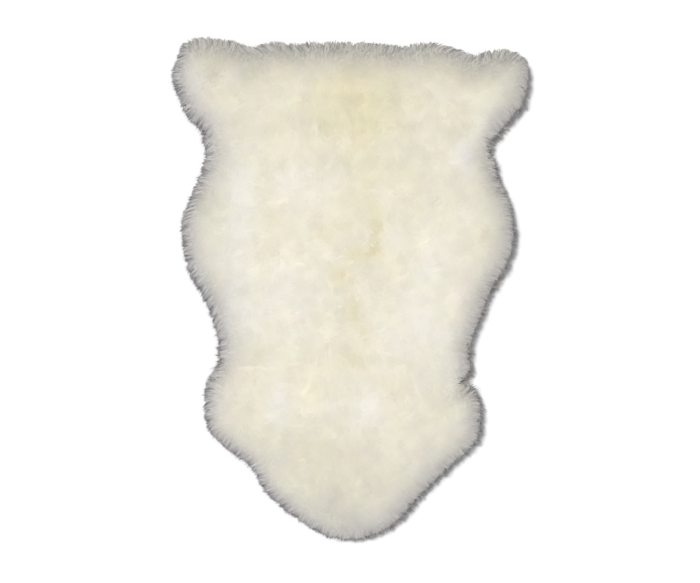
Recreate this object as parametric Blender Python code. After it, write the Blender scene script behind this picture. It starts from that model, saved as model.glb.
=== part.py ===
"""A single-pelt sheepskin rug lying flat, wool side up, in metres.

+Y points to the neck end, +X to the pelt's right as seen from above, and Z = 0 is the surface it lies on.
The pelt is one closed solid that reaches to the tips of its wool: a flat hide underneath, a rim of wool that
rolls over the hide's edge, and a crown with soft hollows where the locks part.
"""

from collections import namedtuple
from math import inf, sqrt

import bmesh
import bpy
from mathutils import Vector, noise
from mathutils.geometry import delaunay_2d_cdt, intersect_point_line

# --- Driving dimensions -------------------------------------------------------------------------------
MM = 0.001
RIM_HEIGHT = 14 * MM          # the wool's widest point, above the floor
RIM_TOP = 41 * MM             # top of the wool where the rim has finished rolling over
CROWN_RISE = 6 * MM           # how much deeper the wool is in the middle of the pelt than at its rim
CROWN_REACH = 130 * MM        # distance from the outline over which it gains that depth
ROLL_WIDTH = 44 * MM          # width of the rounded rim on top
OVERHANG = 26 * MM            # how far the wool reaches past the hide, which is flat on the floor
TUFT_RELIEF = 3.4 * MM        # height of the soft mounds of wool
TUFT_WIDTH = 75 * MM          # distance from one mound to the next

CURVE_STEPS = 24              # points on the curve between two of the outline's points
EDGE_STEP = 11 * MM           # spacing of the points along the outline
TOP_STEP = 23 * MM            # spacing of the points on the crown
HIDE_STEP = 60 * MM           # spacing of the points on the flat underside
TOP_INSETS = [inset * MM for inset in (2, 7, 15, 27, 44)]
UNDER_INSETS = [inset * MM for inset in (2.5, 9, 26)]
INSET_CLEARANCE = 0.97        # share of its inset that an inset point keeps from the whole outline
GRID_CLEARANCE = 0.6          # gap from the last inset to the grid, as a share of the grid's spacing

# --- The outline, clockwise from the left foreleg, in millimetres --------------------------------------
EdgePoint = namedtuple("EdgePoint", "across along")

LEFT_FORELEG_TIP = [
    EdgePoint(-318, 425), EdgePoint(-306, 452), EdgePoint(-276, 462), EdgePoint(-219, 457),
]
NECK_EDGE = [
    EdgePoint(-184, 445), EdgePoint(-138, 454), EdgePoint(-98, 451), EdgePoint(-60, 454),
    EdgePoint(30, 453), EdgePoint(72, 450), EdgePoint(93, 446), EdgePoint(120, 451),
    EdgePoint(155, 453), EdgePoint(206, 438), EdgePoint(228, 429), EdgePoint(252, 438),
]
RIGHT_FORELEG = [
    EdgePoint(295, 438), EdgePoint(327, 417), EdgePoint(328, 376), EdgePoint(319, 338),
    EdgePoint(296, 309), EdgePoint(271, 280), EdgePoint(254, 257),
]
RIGHT_FLANK = [
    EdgePoint(267, 237), EdgePoint(273, 205), EdgePoint(294, 160), EdgePoint(303, 99),
    EdgePoint(292, 49), EdgePoint(262, -2), EdgePoint(241, -54), EdgePoint(222, -108),
    EdgePoint(222, -152), EdgePoint(206, -170),
]
RIGHT_HINDLEG = [
    EdgePoint(232, -184), EdgePoint(242, -221), EdgePoint(237, -271), EdgePoint(217, -298),
    EdgePoint(170, -341), EdgePoint(124, -386), EdgePoint(92, -425),
]
TAIL_END = [
    EdgePoint(60, -446), EdgePoint(8, -461), EdgePoint(-50, -451), EdgePoint(-113, -411),
]
LEFT_HINDLEG = [
    EdgePoint(-158, -369), EdgePoint(-180, -329), EdgePoint(-218, -300), EdgePoint(-259, -260),
    EdgePoint(-268, -214), EdgePoint(-263, -167), EdgePoint(-245, -138),
]
LEFT_FLANK = [
    EdgePoint(-243, -92), EdgePoint(-265, -25), EdgePoint(-298, 35), EdgePoint(-310, 108),
    EdgePoint(-305, 142), EdgePoint(-293, 171), EdgePoint(-271, 226), EdgePoint(-264, 256),
]
LEFT_FORELEG = [
    EdgePoint(-273, 273), EdgePoint(-266, 287), EdgePoint(-299, 314), EdgePoint(-316, 353),
    EdgePoint(-327, 388),
]
OUTLINE = (LEFT_FORELEG_TIP + NECK_EDGE + RIGHT_FORELEG + RIGHT_FLANK + RIGHT_HINDLEG
           + TAIL_END + LEFT_HINDLEG + LEFT_FLANK + LEFT_FORELEG)

# --- Where the locks part, in millimetres: shallow hollows down the spine and at the tail ---------------
Hollow = namedtuple("Hollow", "across along radius depth")

HOLLOWS = [
    Hollow(44, 145, 34, 5.0),
    Hollow(38, 84, 30, 4.0),
    Hollow(-8, 26, 34, 5.0),
    Hollow(-36, -12, 32, 5.5),
    Hollow(10, -58, 30, 4.0),
    Hollow(0, -104, 32, 4.5),
    Hollow(26, 330, 90, 4.0),
    Hollow(-10, -378, 42, 5.5),
    Hollow(-176, 96, 46, 3.0),
    Hollow(150, -96, 50, 3.0),
]

WOOL_IVORY = (0.80, 0.76, 0.66, 1.0)    # linear
WOOL_ROUGHNESS = 0.95


def clear_scene():
    for thing in list(bpy.data.objects):
        bpy.data.objects.remove(thing, do_unlink=True)


def curve_point(before, start, end, after, t):
    """A point between start and end on the Catmull-Rom curve through the four."""
    return 0.5 * (2 * start + (end - before) * t + (2 * before - 5 * start + 4 * end - after) * t ** 2
                  + (3 * start - before - 3 * end + after) * t ** 3)


def smooth_outline():
    """The outline as a closed ring of points, evenly spaced on a curve through OUTLINE, centred on the origin."""
    knots = [Vector((point.across, point.along)) * MM for point in OUTLINE]
    fine = []
    for i in range(len(knots)):
        four = [knots[(i + k) % len(knots)] for k in (-1, 0, 1, 2)]
        fine += [curve_point(*four, step / CURVE_STEPS) for step in range(CURVE_STEPS)]
    lengths = [(after - point).length for point, after in zip(fine, fine[1:] + fine[:1])]
    spacing = sum(lengths) / round(sum(lengths) / EDGE_STEP)
    ring, travelled = [], 0.0
    for point, length in zip(fine, lengths):
        if travelled >= len(ring) * spacing:
            ring.append(point)
        travelled += length
    middle = Vector(((min(p.x for p in ring) + max(p.x for p in ring)) / 2,
                     (min(p.y for p in ring) + max(p.y for p in ring)) / 2))
    return [point - middle for point in ring]


def distance_inside(point, ring):
    """Distance from a point to the outline, and whether it is inside."""
    nearest, crossings = inf, 0
    for a, b in zip(ring, ring[1:] + ring[:1]):
        foot, along = intersect_point_line(point, a, b)
        foot = Vector(foot[:2]) if 0 < along < 1 else (a if along <= 0 else b)
        nearest = min(nearest, (point - foot).length)
        if (a.y > point.y) != (b.y > point.y):
            if point.x < a.x + (b.x - a.x) * (point.y - a.y) / (b.y - a.y):
                crossings += 1
    return nearest, crossings % 2 == 1


def inset_points(ring, inset):
    """The outline's points moved straight in, without those that another stretch of the outline is nearer to."""
    kept = []
    for before, point, after in zip(ring[-1:] + ring[:-1], ring, ring[1:] + ring[:1]):
        run = (after - before).normalized()
        moved = point + Vector((run.y, -run.x)) * inset
        distance, inside = distance_inside(moved, ring)
        if inside and distance > INSET_CLEARANCE * inset:
            kept.append(moved)
    return kept


def grid_points(ring, step, margin):
    """A staggered grid over the pelt, no nearer to the outline than margin."""
    low_x, high_x = min(p.x for p in ring), max(p.x for p in ring)
    low_y, high_y = min(p.y for p in ring), max(p.y for p in ring)
    row_step = step * sqrt(3) / 2
    kept = []
    for row in range(int((high_y - low_y) / row_step) + 1):
        for column in range(int((high_x - low_x) / step) + 1):
            point = Vector((low_x + (column + row % 2 / 2) * step, low_y + row * row_step))
            distance, inside = distance_inside(point, ring)
            if inside and distance > margin:
                kept.append(point)
    return kept


def quarter_round(inset, width):
    """0 at the outline, rising as a quarter circle to 1 at the given width."""
    return sqrt(1 - (1 - min(inset / width, 1)) ** 2)


def top_height(point, inset):
    """The wool's top surface: the rolled rim, the crown, the mounds of wool and the hollows."""
    crown = CROWN_RISE * quarter_round(inset, CROWN_REACH)
    roll = quarter_round(inset, ROLL_WIDTH)
    mounds = (noise.noise((point.x / TUFT_WIDTH, point.y / TUFT_WIDTH, 0))
              + 0.5 * noise.noise((2 * point.x / TUFT_WIDTH, 2 * point.y / TUFT_WIDTH, 5)))
    parted = 0.0
    for hollow in HOLLOWS:
        away = (point - Vector((hollow.across, hollow.along)) * MM).length / (hollow.radius * MM)
        parted += hollow.depth * MM * max(0, 1 - away ** 2) ** 2
    return RIM_HEIGHT + (RIM_TOP - RIM_HEIGHT + crown + TUFT_RELIEF * mounds - parted) * roll


def under_height(_, inset):
    """The underside: the wool's overhang curls down to the hide, which lies flat on the floor."""
    return RIM_HEIGHT * (1 - quarter_round(inset, OVERHANG))


def sheet_faces(ring, inner):
    """Points and triangles of one side of the pelt, with the outline as its edge."""
    inside_only = 1
    merge_distance = 1e-7
    made = delaunay_2d_cdt(ring + inner, [], [list(range(len(ring)))], inside_only, merge_distance)
    return made[0], made[2]


def build_sheepskin():
    ring = smooth_outline()[::-1]      # counter-clockwise, so that the top's faces point up
    body = bmesh.new()
    rim = [body.verts.new((point.x, point.y, RIM_HEIGHT)) for point in ring]
    for step, insets, height, upward in (
        (TOP_STEP, TOP_INSETS, top_height, True),
        (HIDE_STEP, UNDER_INSETS, under_height, False),
    ):
        inner = [p for inset in insets for p in inset_points(ring[::-1], inset)]
        inner += grid_points(ring, step, insets[-1] + GRID_CLEARANCE * step)
        points, faces = sheet_faces(ring, inner)
        corners = list(rim) + [
            body.verts.new((point.x, point.y, height(point, distance_inside(point, ring)[0])))
            for point in points[len(ring):]
        ]
        for face in faces:
            body.faces.new([corners[i] for i in (face if upward else face[::-1])])
    bmesh.ops.recalc_face_normals(body, faces=body.faces)
    mesh = bpy.data.meshes.new("sheepskin")
    body.to_mesh(mesh)
    body.free()
    mesh.shade_smooth()
    return mesh


def wool_material():
    wool = bpy.data.materials.new("ivory_wool")
    wool.use_nodes = True
    shader = wool.node_tree.nodes["Principled BSDF"]
    shader.inputs["Base Color"].default_value = WOOL_IVORY
    shader.inputs["Roughness"].default_value = WOOL_ROUGHNESS
    shader.inputs["Metallic"].default_value = 0.0
    return wool


clear_scene()
sheepskin = bpy.data.objects.new("sheepskin", build_sheepskin())
sheepskin.data.materials.append(wool_material())
bpy.context.scene.collection.objects.link(sheepskin)
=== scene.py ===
"""A single-pelt ivory sheepskin rug, laid flat with its wool side up.

It is put together as the real one grows: the tanned hide underneath, the dense underwool on it, the locks
of long wool over that, and round the edge the fringe and the rim's own locks, which hang past the hide.
"""

from collections import namedtuple

import bmesh
import bpy
import numpy as np
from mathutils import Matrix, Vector, kdtree
from mathutils.bvhtree import BVHTree


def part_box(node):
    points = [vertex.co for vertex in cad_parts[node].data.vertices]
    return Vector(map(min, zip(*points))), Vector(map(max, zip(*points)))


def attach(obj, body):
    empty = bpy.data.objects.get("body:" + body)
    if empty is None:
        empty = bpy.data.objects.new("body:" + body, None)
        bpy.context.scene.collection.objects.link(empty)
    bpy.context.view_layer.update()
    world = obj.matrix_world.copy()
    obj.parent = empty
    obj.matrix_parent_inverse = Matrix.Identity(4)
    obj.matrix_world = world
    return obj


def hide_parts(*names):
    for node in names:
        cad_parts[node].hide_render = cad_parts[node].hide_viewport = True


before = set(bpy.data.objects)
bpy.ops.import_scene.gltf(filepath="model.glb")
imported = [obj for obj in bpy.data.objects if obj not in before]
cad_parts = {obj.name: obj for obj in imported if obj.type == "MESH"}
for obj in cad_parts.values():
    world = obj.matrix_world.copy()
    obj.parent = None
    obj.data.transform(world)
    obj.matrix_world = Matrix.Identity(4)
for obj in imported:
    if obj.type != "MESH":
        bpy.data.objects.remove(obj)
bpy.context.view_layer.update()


# ---------------------------------------------------------------------------------------------------
# Where the rug lies: on a sheet of matt white paper, under a camera that looks straight down. One wide
# soft lamp stands high on the upper left, and a white sky fills the shadows.
# ---------------------------------------------------------------------------------------------------
MM = 0.001
PICTURE_WIDTH = 700                # in pixels
GROUND_PER_PIXEL = 1.842 * MM
FRAME_WIDTH = PICTURE_WIDTH * GROUND_PER_PIXEL
FRAME_MIDDLE = Vector((-1.9 * MM, -5.1 * MM, 0))
CAMERA_HEIGHT = 3.2
LAMP_FROM = Vector((-0.55, 0.30, 0.78))
LAMP_STRENGTH = 2.9
LAMP_WIDTH = np.radians(20)        # how wide it looks from the rug, which sets how soft its shadows are
SKY_STRENGTH = 0.475
PAPER_WIDTH = 40

camera = bpy.data.objects.new("camera", bpy.data.cameras.new("camera"))
camera.location = FRAME_MIDDLE + Vector((0, 0, CAMERA_HEIGHT))
camera.data.sensor_width = 36
camera.data.lens = camera.data.sensor_width * CAMERA_HEIGHT / FRAME_WIDTH
bpy.context.scene.collection.objects.link(camera)
bpy.context.scene.camera = camera
bpy.context.scene.view_settings.view_transform = "Standard"

lamp = bpy.data.objects.new("lamp", bpy.data.lights.new("lamp", "SUN"))
lamp.data.energy = LAMP_STRENGTH
lamp.data.angle = LAMP_WIDTH
lamp.rotation_euler = LAMP_FROM.to_track_quat("Z", "Y").to_euler()
bpy.context.scene.collection.objects.link(lamp)

sky = bpy.data.worlds.new("sky")
sky.use_nodes = True
sky.node_tree.nodes["Background"].inputs["Color"].default_value = (1, 1, 1, 1)
sky.node_tree.nodes["Background"].inputs["Strength"].default_value = SKY_STRENGTH
bpy.context.scene.world = sky


def linear(code):
    """An sRGB hex colour as a linear RGBA."""
    parts = [int(code[k:k + 2], 16) / 255 for k in (1, 3, 5)]
    return [c / 12.92 if c <= 0.04045 else ((c + 0.055) / 1.055) ** 2.4 for c in parts] + [1]


def add(tree, kind, settings=(), **inputs):
    """A node with its settings, and its inputs set to a value or linked to another node's output.

    An input is given by its name, with _ for a space, or by its number, as _6.
    """
    made = tree.nodes.new(kind)
    for name, value in dict(settings).items():
        setattr(made, name, value)
    for name, value in inputs.items():
        place = int(name[1:]) if name[1:].isdigit() else name.replace("_", " ")
        if isinstance(value, bpy.types.NodeSocket):
            tree.links.new(value, made.inputs[place])
        else:
            made.inputs[place].default_value = value
    return made


# White paper, uncoated: it scatters all light evenly, with no gloss. Its tint drifts so slowly that it
# reads as one even white.
white_paper = bpy.data.materials.new("white_paper")
white_paper.use_nodes = True
tree = white_paper.node_tree
paper = tree.nodes["Principled BSDF"]
paper.inputs["Roughness"].default_value = 1.0
paper.inputs["Specular IOR Level"].default_value = 0.0
pulp = add(tree, "ShaderNodeTexNoise", Scale=3.0, Detail=1.0).outputs[0]
tint = add(tree, "ShaderNodeMix", {"data_type": "RGBA"}, _0=pulp, _6=linear("#F2F2F2"), _7=linear("#F6F6F6"))
tree.links.new(tint.outputs[2], paper.inputs["Base Color"])

bpy.ops.mesh.primitive_plane_add(size=PAPER_WIDTH)
floor = bpy.context.object
floor.name = "floor"
floor.data.materials.append(white_paper)


# ---------------------------------------------------------------------------------------------------
# The hide: the tanned skin that all the wool grows from, about 2 mm thick. It is trimmed a little inside
# the wool's tips and lies flat on the floor, flesh side down.
# ---------------------------------------------------------------------------------------------------
HIDE_THICKNESS = 2.0 * MM
HIDE_LEVEL = 0.1 * MM              # the pelt's faces that lie lower than this are the hide's underside
WELD = 0.001 * MM
CLOUD_WIDTH = 120 * MM
NAP_WIDTH = 1.5 * MM               # the real nap is about 0.1 mm, and is drawn as coarse as it needs to show
NAP_HEIGHT = 0.4 * MM

pelt = bmesh.new()
pelt.from_mesh(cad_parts["sheepskin"].data)
bmesh.ops.remove_doubles(pelt, verts=pelt.verts, dist=WELD)
pelt.normal_update()

skin = bmesh.new()
flat_faces = [face for face in pelt.faces if max(v.co.z for v in face.verts) < HIDE_LEVEL]
flat_corners = dict.fromkeys(v for face in flat_faces for v in face.verts)
twins = {v: skin.verts.new(v.co) for v in flat_corners}
for face in flat_faces:
    skin.faces.new([twins[v] for v in face.verts])
HIDE_AREA = sum(face.calc_area() for face in skin.faces)
for lifted in bmesh.ops.extrude_face_region(skin, geom=list(skin.faces))["geom"]:
    if isinstance(lifted, bmesh.types.BMVert):
        lifted.co.z += HIDE_THICKNESS
bmesh.ops.recalc_face_normals(skin, faces=skin.faces)
hide = bpy.data.objects.new("hide", bpy.data.meshes.new("hide"))
skin.to_mesh(hide.data)
skin.free()
hide.data.shade_smooth()
bpy.context.scene.collection.objects.link(hide)

# Suede, buffed on the flesh side: quite matt, a pale tan that clouds over a hand's width, with a short
# nap that breaks up the light.
pale_suede = bpy.data.materials.new("pale_suede")
pale_suede.use_nodes = True
tree = pale_suede.node_tree
leather = tree.nodes["Principled BSDF"]
leather.inputs["Roughness"].default_value = 0.9
leather.inputs["IOR"].default_value = 1.5
where = add(tree, "ShaderNodeTexCoord").outputs["Object"]
clouds = add(tree, "ShaderNodeTexNoise", Vector=where, Scale=1 / CLOUD_WIDTH, Detail=3.0).outputs[0]
tan = add(tree, "ShaderNodeMix", {"data_type": "RGBA"}, _0=clouds,
          _6=linear("#D2C2A5"), _7=linear("#E4D8C2"))
tree.links.new(tan.outputs[2], leather.inputs["Base Color"])
nap = add(tree, "ShaderNodeTexNoise", Vector=where, Scale=1 / NAP_WIDTH, Detail=4.0).outputs[0]
brushed = add(tree, "ShaderNodeBump", Height=nap, Strength=0.4, Distance=NAP_HEIGHT)
tree.links.new(brushed.outputs[0], leather.inputs["Normal"])
hide.data.materials.append(pale_suede)
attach(hide, "root")


# ---------------------------------------------------------------------------------------------------
# The underwool: short, dense wool that grows from the hide between the locks and holds them up. It fills
# the pelt to a few millimetres under the tips of the long wool, and takes the place of the plain solid.
# ---------------------------------------------------------------------------------------------------
# The pelt is surveyed first, for how far in from its edge and how high every spot of it lies.
EDGE_STEP = 1 * MM                 # spacing of the points that follow the pelt's edge
EDGE_SOFTENING = 4 * MM
SURVEY_STEP = 2.5 * MM
SURVEY_MARGIN = 40 * MM            # ground surveyed outside the pelt
SURVEY_FROM = 1.0                  # height that it looks down from
INSET_SOFTENING = 8 * MM
LEAST_SLOPE = 0.3                  # where the inset changes less than this per metre, no one edge is nearest
COVER_WIDTH = 25 * MM


def unit(vectors):
    """Vectors cut or stretched to a length of 1."""
    return vectors / np.maximum(np.linalg.norm(vectors, axis=-1, keepdims=True), 1e-9)


def blur_shares(distance, step):
    """The shares that the points around one take in a blur, three distances to each side."""
    reach = int(3 * distance / step)
    shares = np.exp(-0.5 * (np.arange(-reach, reach + 1) * step / distance) ** 2)
    return reach, shares / shares.sum()


def even_loop(corners, spacing, softening):
    """A closed line's points at an even spacing, with its corners softened over a distance."""
    closed = np.vstack([corners, corners[:1]])
    lengths = np.r_[0, np.cumsum(np.linalg.norm(np.diff(closed, axis=0), axis=1))]
    count = int(lengths[-1] / spacing)
    stops = np.arange(count) * lengths[-1] / count
    points = np.stack([np.interp(stops, lengths, closed[:, k]) for k in (0, 1)], axis=1)
    reach, shares = blur_shares(softening, spacing)
    wrapped = np.vstack([points[-reach:], points, points[:reach]])
    return np.stack([np.convolve(wrapped[:, k], shares, "valid") for k in (0, 1)], axis=1)


# The pelt's edge is where its top meets its underside.
neighbours = {}
for edge in pelt.edges:
    above = [face.normal.z > 0 for face in edge.link_faces]
    if above[0] != above[1]:
        one, other = edge.verts
        neighbours.setdefault(one.index, []).append(other)
        neighbours.setdefault(other.index, []).append(one)
pelt.verts.ensure_lookup_table()
walk = [pelt.verts[min(neighbours)]]
came_from = None
while True:
    onward = next(v for v in neighbours[walk[-1].index] if v is not came_from)
    came_from = walk[-1]
    if onward is walk[0]:
        break
    walk.append(onward)
RIM_Z = walk[0].co.z

rim_line = even_loop(np.array([v.co[:2] for v in walk]), EDGE_STEP, EDGE_SOFTENING)
rim_next = np.roll(rim_line, -1, axis=0)
rim_run = unit(rim_next - np.roll(rim_line, 1, axis=0))
turns_left = np.sum(rim_line[:, 0] * rim_next[:, 1] - rim_next[:, 0] * rim_line[:, 1])
rim_out = np.stack([rim_run[:, 1], -rim_run[:, 0]], axis=1) * np.sign(turns_left)


def finder(spots):
    """A search tree that gives the nearest of many level spots."""
    found = kdtree.KDTree(len(spots))
    for index, spot in enumerate(spots):
        found.insert((*spot, 0), index)
    found.balance()
    return found


surface = BVHTree.FromBMesh(pelt)
rim_finder = finder(rim_line)
low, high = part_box("sheepskin")
survey_x = np.arange(low.x - SURVEY_MARGIN, high.x + SURVEY_MARGIN, SURVEY_STEP)
survey_y = np.arange(low.y - SURVEY_MARGIN, high.y + SURVEY_MARGIN, SURVEY_STEP)
heights = np.full((len(survey_x), len(survey_y)), RIM_Z)
insets = np.zeros_like(heights)
for i, x in enumerate(survey_x):
    for j, y in enumerate(survey_y):
        hit = surface.ray_cast(Vector((x, y, SURVEY_FROM)), Vector((0, 0, -1)))[0]
        away = rim_finder.find((x, y, 0))[2]
        insets[i, j] = away if hit else -away
        if hit:
            heights[i, j] = hit.z


def softened(survey, distance):
    """A survey blurred over a distance."""
    reach, shares = blur_shares(distance, SURVEY_STEP)
    for axis in (0, 1):
        padded = np.pad(survey, [(reach, reach) if k == axis else (0, 0) for k in (0, 1)], mode="edge")
        survey = np.apply_along_axis(lambda line: np.convolve(line, shares, "valid"), axis, padded)
    return survey


def between(table, i, j, u, v):
    """A table's values between four of its cells: u and v are the shares of the way to the next."""
    return ((table[i, j] * (1 - u) + table[i + 1, j] * u) * (1 - v)
            + (table[i, j + 1] * (1 - u) + table[i + 1, j + 1] * u) * v)


def read(survey, x, y):
    """A survey's value at each of many spots."""
    u = np.clip((x - survey_x[0]) / SURVEY_STEP, 0, len(survey_x) - 1.001)
    v = np.clip((y - survey_y[0]) / SURVEY_STEP, 0, len(survey_y) - 1.001)
    i, j = u.astype(int), v.astype(int)
    return between(survey, i, j, u - i, v - j)


inward_x, inward_y = np.gradient(softened(insets, INSET_SOFTENING), SURVEY_STEP)
cover = softened((insets > 0).astype(float), COVER_WIDTH)     # the share of ground with wool around a spot


def outward(x, y):
    """The level direction towards the nearest edge at many spots, fading out where no edge is nearest."""
    away = np.stack([-read(inward_x, x, y), -read(inward_y, x, y)], axis=1)
    return away / np.maximum(np.linalg.norm(away, axis=1, keepdims=True), LEAST_SLOPE)


def turned(x, y, heading):
    """Level coordinates along and across a heading."""
    return x * np.cos(heading) + y * np.sin(heading), y * np.cos(heading) - x * np.sin(heading)


def drift(x, y, size, seed):
    """Soft unevenness from -1 to 1 that changes over a distance of size."""
    cells = 64
    table = np.random.default_rng(seed).uniform(-1, 1, (cells, cells))
    u, v = x / size + cells / 2, y / size + cells / 2
    i, j = np.floor(u).astype(int), np.floor(v).astype(int)
    u, v = u - i, v - j
    return between(table, i % (cells - 1), j % (cells - 1), u * u * (3 - 2 * u), v * v * (3 - 2 * v))


# Painted shade: near its edge the wool is painted a cool grey, standing for the shade of its rounded rim.
# It is painted greyer on the lit left and less grey on the side away from the lamp, where real shade falls.
AWAY_FROM_LAMP = [0.8, -0.6]
LOWER_LEFT = [-0.7, -0.7]
TAIL_HALF = 150 * MM               # how far below the middle the lower left begins to count in full
FADE = 30 * MM                     # how far in from the edge the grey reaches
NECK_FADE = 22 * MM                # how much further at the neck
LOWER_LEFT_FADE = -6 * MM          # and how much less at the lower left
FADE_CURVE = 1.15
NECK_FADE_CURVE = 0.85             # how much more abruptly it ends at the neck
LEFT_GREYER = 0.12
NECK_PALER = 0.2
HOLLOW_SHIFT = 70 * MM             # how much further in a spot counts where the edge is hollow
STRAIGHT_EDGE = 1.7                # how fast the cover rises across a straight edge, in cover widths
GREYEST = 0.97
SHADED_GLOW = [(0.16, 25 * MM), (0.12, 5 * MM)]    # grey that the shaded side goes without, and how far in


def shaded_side(out):
    """How much a level direction points away from the lamp, so that the wool there shades itself."""
    return np.clip(out[:, :2] @ AWAY_FROM_LAMP, 0, 1)


def painted_edge_shade(x, y):
    """Painted shade at the edge, from 0 to 1: most at the edge, and fading over a few centimetres."""
    away = outward(x, y)
    neck = np.clip(away[:, 1], 0, 1) ** 2
    left = np.clip(-away[:, 0], 0, 1)
    lower_left = np.clip(away @ LOWER_LEFT, 0, 1) ** 2 * np.clip(-y / TAIL_HALF, 0, 1)
    inset = np.maximum(read(insets, x, y), 0)
    hollow = read(cover, x, y) - 1 / (1 + np.exp(-STRAIGHT_EDGE * inset / COVER_WIDTH))
    inset = inset + HOLLOW_SHIFT * np.maximum(hollow, 0)
    fade = FADE + NECK_FADE * neck + LOWER_LEFT_FADE * lower_left
    painted_shade = np.exp(-(inset / fade) ** (FADE_CURVE + NECK_FADE_CURVE * neck))
    painted_shade = (1 + LEFT_GREYER * left - NECK_PALER * neck) * painted_shade
    glow = sum(share * np.exp(-inset / distance) for share, distance in SHADED_GLOW)
    return np.minimum(painted_shade, GREYEST) - shaded_side(away) * glow


# The wool's own unevenness: strength, size of its spots or streaks, how slim and which way these are, and
# the seed of the pattern.
Drift = namedtuple("Drift", "strength size slimness heading seed")
YELLOW_DRIFTS = [Drift(0.15, 42 * MM, 1, 0, 31), Drift(0.14, 20 * MM, 1, 0, 33)]
LIGHT_DRIFTS = [
    Drift(0.30, 38 * MM, 1, 0, 32), Drift(0.27, 17 * MM, 1, 0, 34),
    Drift(0.30, 19 * MM, 2.2, 0.5, 35), Drift(0.30, 19 * MM, 2.2, 2.0, 36),
]

# Its larger blotches, soft ovals: middle and half size in millimetres, then how yellow and how light each
# is, where 1 is about as much as such wool shows.
Patch = namedtuple("Patch", "across along wide long warm light")
# Those at the edge tune the painted edge shade: the strong light ones in its hollow corners lighten it, and
# the dark one at the tail deepens it.
PATCHES = [
    Patch(2, 334, 84, 72, 0.75, -0.48),
    Patch(-70, 310, 60, 70, 0.0, -0.35),
    Patch(85, 345, 30, 45, 0.0, -0.45),
    Patch(85, 210, 28, 110, 0.0, -0.4),
    Patch(35, 240, 60, 80, 0.25, -0.1),
    Patch(40, 140, 16, 24, 0.25, -0.1),
    Patch(52, 97, 13, 36, 0.75, -0.45),
    Patch(33, 66, 34, 13, 0.9, -0.5),
    Patch(31, 101, 7, 24, -0.25, 0.6),
    Patch(-14, 17, 24, 17, 0.75, -0.5),
    Patch(-24, -11, 14, 7, 0.1, -0.6),
    Patch(11, -44, 20, 20, 0.5, -0.4),
    Patch(30, -78, 10, 22, 0.45, -0.45),
    Patch(6, -122, 26, 14, 0.4, -0.4),
    Patch(90, -129, 20, 10, 0.3, -0.5),
    Patch(-28, -66, 26, 34, 0.0, 0.15),
    Patch(-163, -116, 30, 24, 0.1, -0.4),
    Patch(-80, 200, 70, 50, -0.35, 0.3),
    Patch(-85, 95, 30, 40, 0.0, 0.3),
    Patch(-200, 140, 34, 90, -0.8, 0.35),
    Patch(-130, 30, 34, 20, 0.0, -0.3),
    Patch(-110, 0, 80, 80, -0.4, 0.4),
    Patch(-200, -40, 40, 70, -0.5, 0.15),
    Patch(205, 235, 24, 30, -0.7, 0.45),
    Patch(120, -70, 60, 70, -0.5, 0.4),
    Patch(190, -90, 26, 55, 0.0, 0.35),
    Patch(30, -215, 50, 36, -0.7, 0.3),
    Patch(-125, -215, 30, 34, -0.7, 0.2),
    Patch(150, 60, 60, 80, -0.3, 0.3),
    Patch(-60, -290, 110, 30, -0.05, -0.5),
    Patch(-35, -385, 40, 34, -0.2, -1.0),
    Patch(40, -370, 60, 50, 0.0, -0.5),
    Patch(30, -330, 70, 50, 0.05, -0.2),
    Patch(142, -250, 34, 40, 0.0, -0.65),
    Patch(-288, 375, 16, 34, -0.5, 0.5),
    Patch(-246, 380, 18, 26, 0.1, -1.1),
    Patch(215, 396, 60, 20, 0.0, -0.2),
    Patch(-10, -320, 120, 100, 0.0, -0.25),
    Patch(-28, -380, 30, 45, -0.1, -0.5),
    Patch(100, -270, 70, 60, -0.2, 0.0),
    Patch(247, 292, 16, 26, 0.0, 1.2),
    Patch(-248, 300, 22, 34, 0.0, 0.5),
    Patch(-214, 268, 18, 42, 0.0, 0.4),
    Patch(-225, -155, 36, 26, 0.0, 1.0),
    Patch(192, -18, 16, 26, 0.0, 0.8),
    Patch(188, -178, 20, 36, 0.0, 1.2),
    Patch(134, -390, 20, 30, 0.0, 0.8),
    Patch(10, -425, 40, 26, -0.35, -1.3),
    Patch(197, -160, 12, 34, 0.0, 1.0),
    Patch(207, -190, 14, 14, 0.0, 1.4),
    Patch(-248, 395, 20, 24, 0.0, -0.6),
    Patch(290, 380, 14, 40, -0.3, -0.7),
    Patch(232, 268, 20, 28, 0.0, 1.1),
    Patch(-62, 374, 34, 9, 0.0, 0.45),
    Patch(-42, 106, 17, 26, 0.25, -0.35),
    Patch(95, 176, 40, 6, 0.0, 0.4),
    Patch(-38, 54, 14, 7, 0.0, 0.5),
    Patch(-38, 0, 13, 6, 0.0, 0.5),
]

EDGE_COOLING = 1.4                 # how much yellow the painted edge shade takes away, except at the neck
LOCK_CONTRAST = 0.02               # how much lighter or darker a lock's own tone makes it
EDGE_CONTRAST = 1.3                # how much more under the painted edge shade
MOST_EDGE_CONTRAST = 0.9


def drifted(drifts, x, y):
    """Several drifts, one on top of another."""
    total = 0
    for row in drifts:
        along, across = turned(x, y, row.heading)
        total = total + row.strength * drift(along, row.slimness * across, row.size, row.seed)
    return total


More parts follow.
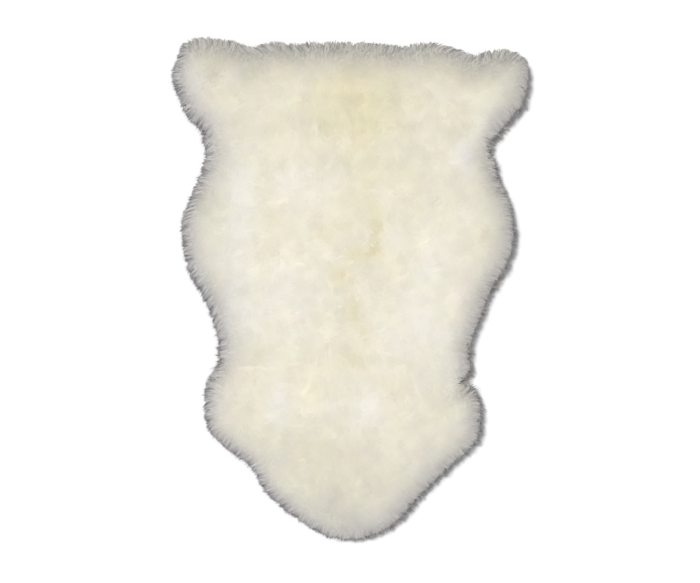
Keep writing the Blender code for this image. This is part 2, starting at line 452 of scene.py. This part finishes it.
def wool_colours(x, y, tip_x, tip_y, tone):
    """What the wool's material reads at many spots: how yellow, how light, how much painted edge shade, what
    tone.

    A whole lock takes its yellow and its lightness from where its tip lies.
    """
    warm = drifted(YELLOW_DRIFTS, tip_x, tip_y)
    light = drifted(LIGHT_DRIFTS, tip_x, tip_y)
    for patch in PATCHES:
        share = np.exp(-((tip_x / MM - patch.across) / patch.wide) ** 2
                       - ((tip_y / MM - patch.along) / patch.long) ** 2)
        warm += patch.warm * share
        light += patch.light * share
    painted_shade = painted_edge_shade(x, y)
    warm -= EDGE_COOLING * painted_shade * (1 - np.clip(outward(x, y)[:, 1], 0, 1))
    contrast = LOCK_CONTRAST + np.minimum(EDGE_CONTRAST * painted_shade ** 3, MOST_EDGE_CONTRAST)
    return {"warm": warm, "light": light, "rim": painted_shade, "tone": 1 + (tone - 0.5) * contrast}


def paint(mesh, colours):
    """Stores named values on a mesh, one for every point."""
    for name, values in colours.items():
        stored = mesh.attributes.new(name, "FLOAT", "POINT")
        stored.data.foreach_set("value", values.astype(np.float32))


BLUSH_WIDTH = 35 * MM
STRAND_WIDTH = 0.9 * MM            # a fibre is about 0.03 mm, and is drawn as coarse as it needs to show
STRAND_HEIGHT = 0.2 * MM

# Wool, washed and combed: off-white keratin fibre, a soft and chalky ivory. The fibres' scales break the
# light up, so it is rough, with a faint sheen from those that stand on edge and hardly any gloss.
ivory_wool = bpy.data.materials.new("ivory_wool")
ivory_wool.use_nodes = True
tree = ivory_wool.node_tree
fibre = tree.nodes["Principled BSDF"]
fibre.inputs["IOR"].default_value = 1.55
fibre.inputs["Specular IOR Level"].default_value = 0.2
fibre.inputs["Sheen Weight"].default_value = 0.1
fibre.inputs["Sheen Roughness"].default_value = 0.6
warm, light, rim, tone = (add(tree, "ShaderNodeAttribute", {"attribute_name": name}).outputs["Fac"]
                          for name in ("warm", "light", "rim", "tone"))

# It goes from a cool off-white to cream where it grew deep along the spine. At the edge it is painted grey:
# painted shade for the pelt's rounded rim.
yellowness = add(tree, "ShaderNodeMapRange", Value=warm, From_Min=-1.0, From_Max=1.0).outputs[0]
cream = add(tree, "ShaderNodeValToRGB", Fac=yellowness)
cream.color_ramp.elements[0].color = linear("#DFDBD5")
cream.color_ramp.elements[1].color = linear("#DDD4B2")
cream.color_ramp.elements.new(0.5).color = linear("#DDD8C5")
lightness = add(tree, "ShaderNodeMapRange", {"clamp": False}, Value=light,
                From_Min=-1.0, From_Max=1.0, To_Min=0.9, To_Max=1.14).outputs[0]
lit = add(tree, "ShaderNodeVectorMath", {"operation": "SCALE"}, Vector=cream.outputs[0], Scale=lightness)
greyed = add(tree, "ShaderNodeMix", {"data_type": "RGBA"}, _0=rim, _6=lit.outputs[0], _7=linear("#8A888A"))
# The tone lightens or darkens it: the locks' own tone, and painted light and shade in the fringe and rim
# locks.
toned = add(tree, "ShaderNodeVectorMath", {"operation": "SCALE"}, Vector=greyed.outputs[2], Scale=tone)

# What is left of the grease and dust makes faint blushes, and the fibres give a grain.
where = add(tree, "ShaderNodeTexCoord").outputs["Object"]
blush = add(tree, "ShaderNodeTexNoise", Vector=where, Scale=1 / BLUSH_WIDTH, Detail=2.0).outputs[0]
tint = add(tree, "ShaderNodeMix", {"data_type": "RGBA"}, _0=blush,
           _6=linear("#FFFBFF"), _7=linear("#FBFFFA"))
blushed = add(tree, "ShaderNodeMix", {"data_type": "RGBA", "blend_type": "MULTIPLY"}, _0=1.0,
              _6=toned.outputs[0], _7=tint.outputs[2])
strands = add(tree, "ShaderNodeTexNoise", Vector=where, Scale=1 / STRAND_WIDTH, Detail=3.0,
              Roughness=0.6).outputs[0]
grain = add(tree, "ShaderNodeMapRange", Value=strands, To_Min=0.97, To_Max=1.04).outputs[0]
grained = add(tree, "ShaderNodeVectorMath", {"operation": "SCALE"}, Vector=blushed.outputs[2], Scale=grain)
tree.links.new(grained.outputs[0], fibre.inputs["Base Color"])
fuzz = add(tree, "ShaderNodeMapRange", Value=strands, To_Min=0.88, To_Max=1.0)
tree.links.new(fuzz.outputs[0], fibre.inputs["Roughness"])
relief = add(tree, "ShaderNodeBump", Height=strands, Strength=0.25, Distance=STRAND_HEIGHT)
tree.links.new(relief.outputs[0], fibre.inputs["Normal"])

RIM_DEPTH = 8 * MM                 # how far under the tips of the long wool the underwool ends, at the rim
MIDDLE_DEPTH = 4.5 * MM            # and over the rest
RIM_WIDTH = 45 * MM                # over what distance from the edge that changes
LUMPS = [Drift(0.8 * MM, 18 * MM, 1, 0, 3)]
DRAWN_IN_ABOVE = 6 * MM            # what is lower stays beside the hide
HIDE_GAP = 0.2 * MM

underwool = bpy.data.objects.new("underwool", bpy.data.meshes.new("underwool"))
pelt.to_mesh(underwool.data)
bpy.context.scene.collection.objects.link(underwool)
rounded = underwool.modifiers.new("rounded", "SUBSURF")
rounded.levels = rounded.render_levels = 1
bpy.context.view_layer.update()
smooth = bpy.data.meshes.new_from_object(underwool.evaluated_get(bpy.context.evaluated_depsgraph_get()))
underwool.modifiers.clear()
underwool.data = smooth
smooth.name = "underwool"


def vertex_values(mesh, name):
    """The places or the directions of a mesh's points, a row for each."""
    values = np.empty(len(mesh.vertices) * 3)
    mesh.vertices.foreach_get(name, values)
    return values.reshape(-1, 3)


spots = vertex_values(smooth, "co")
facing = vertex_values(smooth, "normal")
lumps = drifted(LUMPS, spots[:, 0], spots[:, 1])
deep_in = np.clip(read(insets, spots[:, 0], spots[:, 1]) / RIM_WIDTH, 0, 1)
depth = RIM_DEPTH + (MIDDLE_DEPTH - RIM_DEPTH) * deep_in - lumps
spots -= facing * np.where(spots[:, 2] > DRAWN_IN_ABOVE, depth, 0.0)[:, None]
spots[:, 2] = np.maximum(spots[:, 2], HIDE_THICKNESS + HIDE_GAP)
smooth.vertices.foreach_set("co", spots.ravel())
middling = np.full(len(spots), 0.5)
paint(smooth, wool_colours(spots[:, 0], spots[:, 1], spots[:, 0], spots[:, 1], middling))
smooth.shade_smooth()
smooth.materials.clear()
smooth.materials.append(ivory_wool)
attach(underwool, "root")
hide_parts("sheepskin")


# ---------------------------------------------------------------------------------------------------
# The long wool. Its fibres grow in locks that lean together and lie over one another in slow swirls. Each
# lock is one tapered body with three sides, rooted in the underwool, that arches over and tucks its tip
# into the wool it lies on.
# ---------------------------------------------------------------------------------------------------
HEIGHT_SOFTENING = 5 * MM
SOFT_SHADING = 3                   # how much straight up outweighs the slope in how it is shaded
RIDGE_TWIST = 0.25                 # how far a lock's ridge turns from straight up, in radians
NUDGE = 1e-4                       # keeps a lock that stands straight up from having no side

smooth_heights = softened(heights, HEIGHT_SOFTENING)
slope_x, slope_y = np.gradient(smooth_heights, SURVEY_STEP)

Growth = namedtuple("Growth", "root bend tip width facing tone")   # one row of each for every lock
Ring = namedtuple("Ring", "along fullness")     # how far up a lock it is, and its share of the full width


def upright(x, y):
    """The wool surface's outward direction at many spots."""
    return unit(np.stack([-read(slope_x, x, y), -read(slope_y, x, y), np.ones_like(x)], axis=1))


def softly_upright(x, y):
    """The direction that the long wool is shaded in, near straight up: light sinks into it and spreads."""
    return unit(upright(x, y) + [0, 0, SOFT_SHADING])


def curve(growth, t):
    """The middle of each lock at a share of the way from root to tip, and the way it runs there."""
    root, bend, tip = growth.root, growth.bend, growth.tip
    middle = (1 - t) ** 2 * root + 2 * t * (1 - t) * bend + t * t * tip
    return middle, unit((1 - t) * (bend - root) + t * (tip - bend))


def lock_cells(count, rings):
    """A map with a square for every lock: its ridge up the middle, and its two edges beside that."""
    ridge, one_edge, other_edge = 0.5, 0.1, 0.9
    first_ring, last_ring, tip = 0.1, 0.7, 0.9
    across = [ridge, one_edge, other_edge] * len(rings) + [ridge]
    up = np.repeat(np.linspace(first_ring, last_ring, len(rings)), 3).tolist() + [tip]
    corners = np.array([across, up]).T
    columns = int(np.ceil(np.sqrt(count)))
    row, column = np.divmod(np.arange(count), columns)
    return (np.stack([column, row], 1)[:, None] + corners).reshape(-1, 2) / columns


def lock_faces(count, rings, sides):
    """The triangles of many locks, each with its root closed and its last ring drawn together to the tip."""
    last = (len(rings) - 1) * sides
    per_lock = len(rings) * sides + 1
    faces = [[2, 1, 0]]
    for k in (1, 0, 2):                            # the hidden underside first
        beside = (k + 1) % sides
        for ring in range(0, last, sides):
            a, b = ring + k, ring + beside
            faces += [[a, b, b + sides], [a, b + sides, a + sides]]
        faces.append([last + k, last + beside, per_lock - 1])
    return (np.arange(count)[:, None, None] * per_lock + np.array(faces)[None]).reshape(-1, 3)


def lock_mesh(name, growth, rings, flatness, roundness, root_shade, seed):
    """Many tapered locks in one mesh.

    flatness: thickness as a share of width. roundness: how much the shading turns round the lock.
    root_shade: painted shade down in the wool, how much darker the lock is at its root than at its tip.
    """
    count, sides = len(growth.root), 3
    ridge = np.random.default_rng(seed).normal(-np.pi / 2, RIDGE_TWIST, count)
    points, facings, tones = [], [], []
    for ring in rings:
        middle, run = curve(growth, ring.along)
        side = unit(np.cross(run, growth.facing + NUDGE))
        lift = np.cross(run, side)
        for k in range(sides):
            angle = (ridge + 2 * np.pi * k / sides)[:, None]
            radial = np.cos(angle) * side + flatness * np.sin(angle) * lift
            points.append(middle + radial * (0.5 * growth.width * ring.fullness)[:, None])
            facings.append(unit(roundness * radial + growth.facing))
            tones.append(growth.tone - root_shade * (1 - ring.along))
    points.append(growth.tip)
    facings.append(growth.facing)
    tones.append(growth.tone)
    per_lock = len(points)
    points = np.stack(points, axis=1).reshape(-1, 3)
    facings = np.stack(facings, axis=1).reshape(-1, 3)
    tones = np.stack(tones, axis=1).ravel()
    faces = lock_faces(count, rings, sides)

    mesh = bpy.data.meshes.new(name)
    mesh.vertices.add(len(points))
    mesh.vertices.foreach_set("co", points.astype(np.float32).ravel())
    mesh.loops.add(faces.size)
    mesh.loops.foreach_set("vertex_index", faces.astype(np.int32).ravel())
    mesh.polygons.add(len(faces))
    mesh.polygons.foreach_set("loop_start", np.arange(0, faces.size, 3, dtype=np.int32))
    mesh.update(calc_edges=True)
    cells = lock_cells(count, rings)[faces]
    mesh.uv_layers.new(name="OFBake").data.foreach_set("uv", cells.astype(np.float32).ravel())
    tip_x, tip_y = (np.repeat(growth.tip[:, k], per_lock) for k in (0, 1))
    paint(mesh, wool_colours(points[:, 0], points[:, 1], tip_x, tip_y, tones))
    mesh.shade_smooth()
    mesh.normals_split_custom_set_from_vertices(facings.tolist())
    return mesh


def grown(name, growth, rings, flatness, roundness, root_shade, pieces, casts):
    """The locks as so many pieces, each riding on the pelt.

    casts: whether they throw shadows and pass light on, which the underwool does for the wool over it.
    """
    for number in range(pieces):
        part = Growth(*(values[number::pieces] for values in growth))
        mesh = lock_mesh(f"{name}_{number + 1}", part, rings, flatness, roundness, root_shade, number)
        mesh.materials.append(ivory_wool)
        piece = bpy.data.objects.new(mesh.name, mesh)
        bpy.context.scene.collection.objects.link(piece)
        piece.visible_shadow = casts
        piece.visible_diffuse = casts
        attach(piece, "root")


CLUMP_SPACING = 26 * MM            # the locks gather in clumps
CLUMP_INSET = 4 * MM               # how far in from the edge the outermost one is
CLUMP_RADIUS = 0.6 * CLUMP_SPACING
CLUMP_RISE = 1.3 * MM              # how much the middle of a clump stands up
CLUMP_LEAN = 0.35                  # how differently the clumps lean
CLUMP_TONE = 0.2
LOCK_TONE = 0.3
LOCK_SPACING = 3.15 * MM
LOCK_INSET = 2.5 * MM
LOCK_WIDTH = [2.94 * MM, 5.04 * MM]            # as wide as many fibres, which the material's grain shows
LOCK_LENGTH = [14 * MM, 25 * MM]
LOCK_BEND = 0.6                    # how far back from its tip a lock bends, as a share of its length
LOCK_LOOSENESS = 0.3               # how differently single locks lean
TIP_DEPTH = 1 * MM                 # how far the tips sit in the surface
TIP_UNEVENNESS = 0.9 * MM
ARCH_VARIES = [0.7, 1.2]
LOWEST_ROOT = 3 * MM
LOCK_RINGS = [Ring(0.22, 0.9), Ring(0.58, 1.0)]

# These go from a value over the middle of the pelt to another at its rim.
CLUMP_PULL = [0.2, 0.08]           # how far a tip is drawn towards the middle of its clump
LOCK_RISE = [6 * MM, 16 * MM]      # from root to tip
LOCK_ARCH = [11 * MM, 3 * MM]      # how far a lock bends up over its tip
LENGTHENING = [1.0, 1.2]
STANDING = [1.0, 0.5]              # the share of the unevenness that is left
TIP_TUCK = [4 * MM, 0.0]           # how far the tips are tucked in under their neighbours

OUTWARD_RANGE = 60 * MM            # over what distance from the edge the locks come to lean straight out
OUTWARD_CURVE = 1.2
OUTWARD_PULL = 1.6
SWIRLS = [Drift(2.2, 150 * MM, 1, 0, 21), Drift(1.2, 60 * MM, 1, 0, 22)]      # strengths in radians

chance = np.random.default_rng(11)


def scattered(spacing, least_inset):
    """Spots spread over the pelt: a staggered grid, shaken loose."""
    jitter = 0.45
    columns = np.arange(low.x, high.x, spacing)
    rows = np.arange(low.y, high.y, spacing * np.sqrt(3) / 2)
    x, y = np.meshgrid(columns, rows, indexing="ij")
    x = x + (np.arange(len(rows)) % 2)[None] * spacing / 2
    x, y = (part.ravel() + chance.uniform(-jitter, jitter, part.size) * spacing for part in (x, y))
    inside = read(insets, x, y) > least_inset
    return x[inside], y[inside]


def graded(sizes, share):
    """A size at a share of the way from its first value to its second."""
    return np.interp(share, [0, 1], sizes)


clump_x, clump_y = scattered(CLUMP_SPACING, CLUMP_INSET)
clump_finder = finder(np.column_stack([clump_x, clump_y]))
clump_tone = chance.uniform(-1, 1, len(clump_x))
clump_lean = chance.normal(0, CLUMP_LEAN, (len(clump_x), 2))


def leaning(x, y, clump, looseness):
    """Which way the wool lies: outward near the edge, and in slow swirls over the rest."""
    near_rim = np.clip(1 - read(insets, x, y) / OUTWARD_RANGE, 0, 1)[:, None] ** OUTWARD_CURVE
    angle = drifted(SWIRLS, x, y)
    swirl = np.stack([np.cos(angle), np.sin(angle)], 1) + clump_lean[clump]
    lean = OUTWARD_PULL * near_rim * outward(x, y) + (1 - near_rim) * swirl
    lean += chance.normal(0, looseness, (len(x), 2))
    return unit(np.column_stack([lean, np.zeros(len(x))])), near_rim[:, 0]


def laid_on(facing, lean):
    """A level direction laid onto a surface."""
    return unit(lean - (lean * facing).sum(1)[:, None] * facing)


x, y = scattered(LOCK_SPACING, LOCK_INSET)
order = chance.permutation(len(x))
x, y = x[order], y[order]
nearest = [clump_finder.find((a, b, 0)) for a, b in zip(x, y)]
clump = np.array([found[1] for found in nearest])
away = np.array([found[2] for found in nearest])
lean, near_rim = leaning(x, y, clump, LOCK_LOOSENESS)
pull = graded(CLUMP_PULL, near_rim)
tip_x = x + pull * (clump_x[clump] - x)
tip_y = y + pull * (clump_y[clump] - y)
facing = upright(tip_x, tip_y)
along = laid_on(facing, lean)
crown = (1 - (away / CLUMP_RADIUS) ** 2).clip(-1, 1)
stand = CLUMP_RISE * crown + chance.normal(0, TIP_UNEVENNESS, len(x))
stand = (stand - TIP_DEPTH) * graded(STANDING, near_rim) - graded(TIP_TUCK, near_rim)
tip = np.column_stack([tip_x, tip_y, read(smooth_heights, tip_x, tip_y)]) + facing * stand[:, None]
length = (chance.uniform(*LOCK_LENGTH, len(x)) * graded(LENGTHENING, near_rim))[:, None]
arch = (graded(LOCK_ARCH, near_rim) * chance.uniform(*ARCH_VARIES, len(x)))[:, None]
root = tip - along * length - facing * graded(LOCK_RISE, near_rim)[:, None]
root[:, 2] = np.maximum(root[:, 2], LOWEST_ROOT)
bend = tip - LOCK_BEND * along * length + facing * arch
tone = np.clip(0.5 + CLUMP_TONE * clump_tone[clump] + chance.normal(0, LOCK_TONE, len(x)), 0, 1)
width = chance.uniform(*LOCK_WIDTH, len(x))
locks = Growth(root, bend, tip, width, softly_upright(tip_x, tip_y), tone)
grown("wool_locks", locks, LOCK_RINGS, flatness=0.4, roundness=0.05, root_shade=0.0, pieces=4, casts=False)


# ---------------------------------------------------------------------------------------------------
# The fringe: the long wool of the pelt's rim. It grows out past the hide's edge, bends over it and hangs
# to the floor, its fibres thinned to points and gathered in small tufts that lie over one another.
# ---------------------------------------------------------------------------------------------------
FRINGE_SPACING = 0.28 * MM         # round the edge, all the tiers of tufts together
FRINGE_WIDTH = [1.3 * MM, 3.12 * MM]           # each stands for some dozens of fibres
FRINGE_TUFTS = 8.5 * MM            # the tufts stand this far apart
FRINGE_TIERS = 5
FRINGE_RINGS = [Ring(0.1, 0.9), Ring(0.5, 1.0), Ring(0.8, 0.6)]
LOWEST_WOOL = 1.2 * MM
TIER_SHIFT = 0.37                  # each tier's tufts stand this share of a tuft further along
TUFT_SHIFT = 0.2                   # how unevenly they stand, as a share of a tuft
TUFT_TURN = 0.18                   # how much they turn from the way the wool grows there
FIBRE_TURN = 0.08                  # and how much single fibres turn in them
GATHER = 0.6                       # how far a tuft's tips are drawn together
BEND_GATHER = 0.3

# These go from a value for the lowest fibres to another for the topmost.
ROOT_IN = [22 * MM, 36 * MM]       # how far in from the edge they grow
ROOT_HEIGHT = [6 * MM, 26 * MM]
BEND_IN = [5 * MM, 10 * MM]
BEND_HEIGHT = [13 * MM, 36 * MM]
TIP_HEIGHT = [2 * MM, 13 * MM]

# These differ round the pelt: a value, and how much more or less it is on the side away from the lamp, on
# the left and at the neck. How far the tips reach past the edge, and how unevenly, is in millimetres.
Side = namedtuple("Side", "all_round far left neck")
TIP_REACH = Side(2.2, 2.2, 0.5, -6.0)
TIP_SPREAD = Side(2.5, 1.0, -0.5, 0.5)
TOP_SHORTER = Side(7.0, 2.5, 0.0, 0.0)         # how much less far the topmost reach
# Painted light and shade: the fringe is painted lighter on the side away from the lamp, where real shade
# falls, and its lowest fibres darker, as if shaded by those over them, but not on that side.
FRINGE_TONE = Side(0.55, 0.2, 0.0, 0.0)
LOWEST_PAINTED_SHADE = Side(0.25, -0.25, 0.15, -0.25)
FRINGE_FACING = Side(0.15, 0.3, 0.0, 0.0)      # how far its shading turns outward from straight up

TUFT_REACH = 1.8                   # how much longer or shorter a tuft is, in millimetres
NOTCH_REACH = 38                   # how much longer where the edge is hollow, in millimetres
STRAIGHT_COVER = 0.52              # what the cover is beside a straight edge
LOWEST_SHARE = 0.12                # the share of the fibres that count as the lowest
BEND_SPREAD = 4 * MM
TIP_HEIGHT_SPREAD = 1 * MM
TONE_LIMITS = [-0.2, 1.2]
Tones = namedtuple("Tones", "fibre tuft middle")    # how uneven fibres and tufts are, and a crown's painted light
FRINGE_TONES = Tones(0.2, 0.12, 0.25)

# The wool grows away from the spine and towards the tail, in stretches that lean a little more or less.
FROM_SPINE = 0.5
SPINE_WIDTH = 100 * MM
TO_TAIL = -0.35
SWAY = [Drift(0.4, 55 * MM, 1, 0, 41)]
rim_length = len(rim_line) * EDGE_STEP
up = np.array([0, 0, 1.0])
aside_grow = FROM_SPINE * np.clip(rim_line[:, 0] / SPINE_WIDTH, -1, 1)
rim_lean = aside_grow * rim_run[:, 0] + TO_TAIL * rim_run[:, 1]
rim_lean += drifted(SWAY, rim_line[:, 0], rim_line[:, 1])

Tufts = namedtuple("Tufts", "place layer aside turn middle out longer lighter")


def tufted(spacing, apart, tiers):
    """Fibres at random places round the edge, in tiers of tufts that lie one over another."""
    count, tufts = int(rim_length / spacing), int(rim_length / apart)
    place, layer = chance.uniform(0, rim_length, count), chance.uniform(0, 1, count)
    tier = np.floor(tiers * layer).astype(int)
    shift = (TIER_SHIFT * tier + 0.5) * apart
    tuft = np.floor((place + shift) / apart).astype(int)
    nudge = chance.uniform(-TUFT_SHIFT, TUFT_SHIFT, tufts + tiers + 2)[tuft]
    aside = (tuft + 0.5 + nudge) * apart - shift - place
    tuft = (tuft % tufts) + tufts * tier
    index = np.round(place / EDGE_STEP).astype(int) % len(rim_line)
    turn = rim_lean[index] + chance.normal(0, TUFT_TURN, tufts * tiers)[tuft]
    turn += chance.normal(0, FIBRE_TURN, count)
    middle = 1 - 2 * np.clip(np.abs(aside) / (0.5 * apart), 0, 1)
    out = np.column_stack([rim_out[index], np.zeros(count)])
    longer, lighter = chance.uniform(-1, 1, (2, tufts * tiers))[:, tuft]
    return Tufts(place, layer, aside, turn, middle, out, longer, lighter)


def beyond(place, sideways, distance, height):
    """Points that far past the pelt's edge, at that height, moved sideways along the edge."""
    index = np.round((place + sideways) / EDGE_STEP).astype(int) % len(rim_line)
    spots = rim_line[index] + rim_out[index] * distance[:, None]
    return np.column_stack([spots, np.maximum(height, LOWEST_WOOL)])


def by_side(size, out):
    """A size that differs round the pelt, for many level directions."""
    left, neck = np.clip(-out[:, 0], 0, 1), np.clip(out[:, 1], 0, 1)
    return size.all_round + size.far * shaded_side(out) + size.left * left + size.neck * neck


def tuft_tone(tones, tufts):
    """What fibres and tufts add to the tone, with painted light on tuft crowns and painted shade between."""
    loose = tones.fibre * chance.normal(0, 1, len(tufts.place))
    return loose + tones.tuft * tufts.lighter + tones.middle * tufts.middle


tufts = tufted(FRINGE_SPACING, FRINGE_TUFTS, FRINGE_TIERS)
place, layer, out = tufts.place, tufts.layer, tufts.out
count = len(place)
none = np.zeros(count)
edge = beyond(place, none, none, none)
notch = np.maximum(read(cover, edge[:, 0], edge[:, 1]) - STRAIGHT_COVER, 0)
reach = by_side(TIP_REACH, out) + NOTCH_REACH * notch + TUFT_REACH * tufts.longer
reach -= by_side(TOP_SHORTER, out) * layer
tip_out = (reach + by_side(TIP_SPREAD, out) * chance.normal(0, 1, count)) * MM
tip_height = graded(TIP_HEIGHT, layer) + chance.normal(0, TIP_HEIGHT_SPREAD, count)
bend_out = -graded(BEND_IN, layer) - chance.uniform(0, BEND_SPREAD, count)
deep = graded(ROOT_IN, layer)
tip_aside = GATHER * tufts.aside + tufts.turn * (deep + tip_out)
bend_aside = BEND_GATHER * tufts.aside + tufts.turn * (deep + bend_out)
root = beyond(place, none, -deep, graded(ROOT_HEIGHT, layer))
bend = beyond(place, bend_aside, bend_out, graded(BEND_HEIGHT, layer))
tip = beyond(place, tip_aside, tip_out, tip_height)
facing = unit(by_side(FRINGE_FACING, out)[:, None] * out + up)
tone = by_side(FRINGE_TONE, out) + tuft_tone(FRINGE_TONES, tufts)
tone -= by_side(LOWEST_PAINTED_SHADE, out) * np.exp(-layer / LOWEST_SHARE)
width = chance.uniform(*FRINGE_WIDTH, count)
fringe = Growth(root, bend, tip, width, facing, np.clip(tone, *TONE_LIMITS))
# The fringe is painted darker towards its roots: painted shade down in the wool.
grown("rim_fringe", fringe, FRINGE_RINGS, flatness=0.6, roundness=0.3, root_shade=0.3, pieces=2, casts=True)


# ---------------------------------------------------------------------------------------------------
# The rim locks: the longest wool of the rim. It grows a little way in and lies over the pelt's rounded
# shoulder in narrow tufts, painted light where the fibres crown and painted shade in the gaps between them.
# ---------------------------------------------------------------------------------------------------
RIM_LOCK_SPACING = 0.45 * MM
RIM_LOCK_WIDTH = [1.02 * MM, 2.04 * MM]
RIM_LOCK_TUFTS = 5.2 * MM
RIM_LOCK_TIERS = 2
RIM_LOCK_RINGS = [Ring(0.25, 0.8), Ring(0.5, 1.0), Ring(0.8, 0.8)]
RIM_ROOT_IN = 30 * MM              # how far in from the edge they grow
RIM_ROOT_DEPTH = 5 * MM            # how far under the surface their roots are
RIM_CROWN_IN = [8 * MM, 13 * MM]   # where they lie over the shoulder
RIM_CROWN_GATHER = 0.36
RIM_CROWN_LIFT = [1.5 * MM, 3.5 * MM]          # above the surface there, from the lowest to the topmost
RIM_TIP_REACH = Side(-1.5, -4.5, 0.0, -0.8)    # past the edge, in millimetres
RIM_TUFT_REACH = 2.2               # how much longer or shorter a tuft is, in millimetres
RIM_TIP_SPREAD = 1.5
RIM_TIP_HEIGHT = [14 * MM, 19 * MM]            # from the lowest to the topmost
RIM_TIP_HEIGHT_SPREAD = 0.7 * MM
TUFT_CROWN = [1 * MM, 2 * MM]      # how much higher the middle of a tuft is, on the shoulder and at its tip
RIM_LOCK_TONE = 0.35
UPPER_TIER_PAINTED_LIGHT = 0.3                # painted light on the upper tier, and as much painted shade on the lower
RIM_LOCK_TONES = Tones(0.1, 0.15, 0.4)
RIM_LOCK_FACING = 0.15

tufts = tufted(RIM_LOCK_SPACING, RIM_LOCK_TUFTS, RIM_LOCK_TIERS)
place, layer, out = tufts.place, tufts.layer, tufts.out
count = len(place)
none = np.zeros(count)
reach = by_side(RIM_TIP_REACH, out) + RIM_TUFT_REACH * tufts.longer
tip_out = (reach + chance.normal(0, RIM_TIP_SPREAD, count)) * MM
crown_out = -chance.uniform(*RIM_CROWN_IN, count)
root = beyond(place, none, none - RIM_ROOT_IN, none)
root[:, 2] = read(smooth_heights, root[:, 0], root[:, 1]) - RIM_ROOT_DEPTH
crown_aside = RIM_CROWN_GATHER * tufts.aside + tufts.turn * (RIM_ROOT_IN + crown_out)
crown = beyond(place, crown_aside, crown_out, none)
crown_lift = graded(RIM_CROWN_LIFT, layer) + TUFT_CROWN[0] * tufts.middle
crown[:, 2] = read(smooth_heights, crown[:, 0], crown[:, 1]) + crown_lift
tip_aside = GATHER * tufts.aside + tufts.turn * (RIM_ROOT_IN + tip_out)
tip_height = graded(RIM_TIP_HEIGHT, layer) + TUFT_CROWN[1] * tufts.middle
tip_height += chance.normal(0, RIM_TIP_HEIGHT_SPREAD, count)
tip = beyond(place, tip_aside, tip_out, tip_height)
bend = 2 * crown - (root + tip) / 2            # so that the lock's curve runs through its crown
tone = RIM_LOCK_TONE + UPPER_TIER_PAINTED_LIGHT * np.sign(layer - 0.5) + tuft_tone(RIM_LOCK_TONES, tufts)
width = chance.uniform(*RIM_LOCK_WIDTH, count)
facing = unit(RIM_LOCK_FACING * out + up)
rim_locks = Growth(root, bend, tip, width, facing, np.clip(tone, *TONE_LIMITS))
grown("rim_locks", rim_locks, RIM_LOCK_RINGS, flatness=0.6, roundness=0.3, root_shade=0.0, pieces=1,
      casts=False)


# ---------------------------------------------------------------------------------------------------
# The loose fibres: single hairs of the same wool, all over the pelt, that combing has left standing a
# little above the locks.
# ---------------------------------------------------------------------------------------------------
LOOSE_SPACING = 11 * MM
LOOSE_INSET = 4 * MM
LOOSE_WIDTH = [0.56 * MM, 0.96 * MM]           # far wider than the real 0.03 mm, so that they show
LOOSE_LENGTH = [12.6 * MM, 23.4 * MM]
LOOSE_BEND = 0.45
LOOSE_LOOSENESS = 0.8
LOOSE_RISE = 6 * MM                # from root to tip
LOOSE_ARCH = 1 * MM
LOOSE_STAND = [0.3 * MM, 3.0 * MM]             # how far the tips stand above the surface
LOOSE_TONE = [0.3, 0.7]
LOOSE_RINGS = [Ring(0.3, 1.0), Ring(0.7, 0.8)]

x, y = scattered(LOOSE_SPACING, LOOSE_INSET)
clump = np.array([clump_finder.find((a, b, 0))[1] for a, b in zip(x, y)])
lean = leaning(x, y, clump, LOOSE_LOOSENESS)[0]
facing = upright(x, y)
along = laid_on(facing, lean)
length = chance.uniform(*LOOSE_LENGTH, len(x))[:, None]
stand = chance.uniform(*LOOSE_STAND, len(x))[:, None]
tip = np.column_stack([x, y, read(smooth_heights, x, y)]) + facing * stand
root = tip - along * length - facing * LOOSE_RISE
bend = tip - LOOSE_BEND * along * length + facing * LOOSE_ARCH
width = chance.uniform(*LOOSE_WIDTH, len(x))
tone = chance.uniform(*LOOSE_TONE, len(x))
loose = Growth(root, bend, tip, width, softly_upright(x, y), tone)
grown("loose_fibres", loose, LOOSE_RINGS, flatness=0.5, roundness=0.05, root_shade=0.0, pieces=1,
      casts=False)
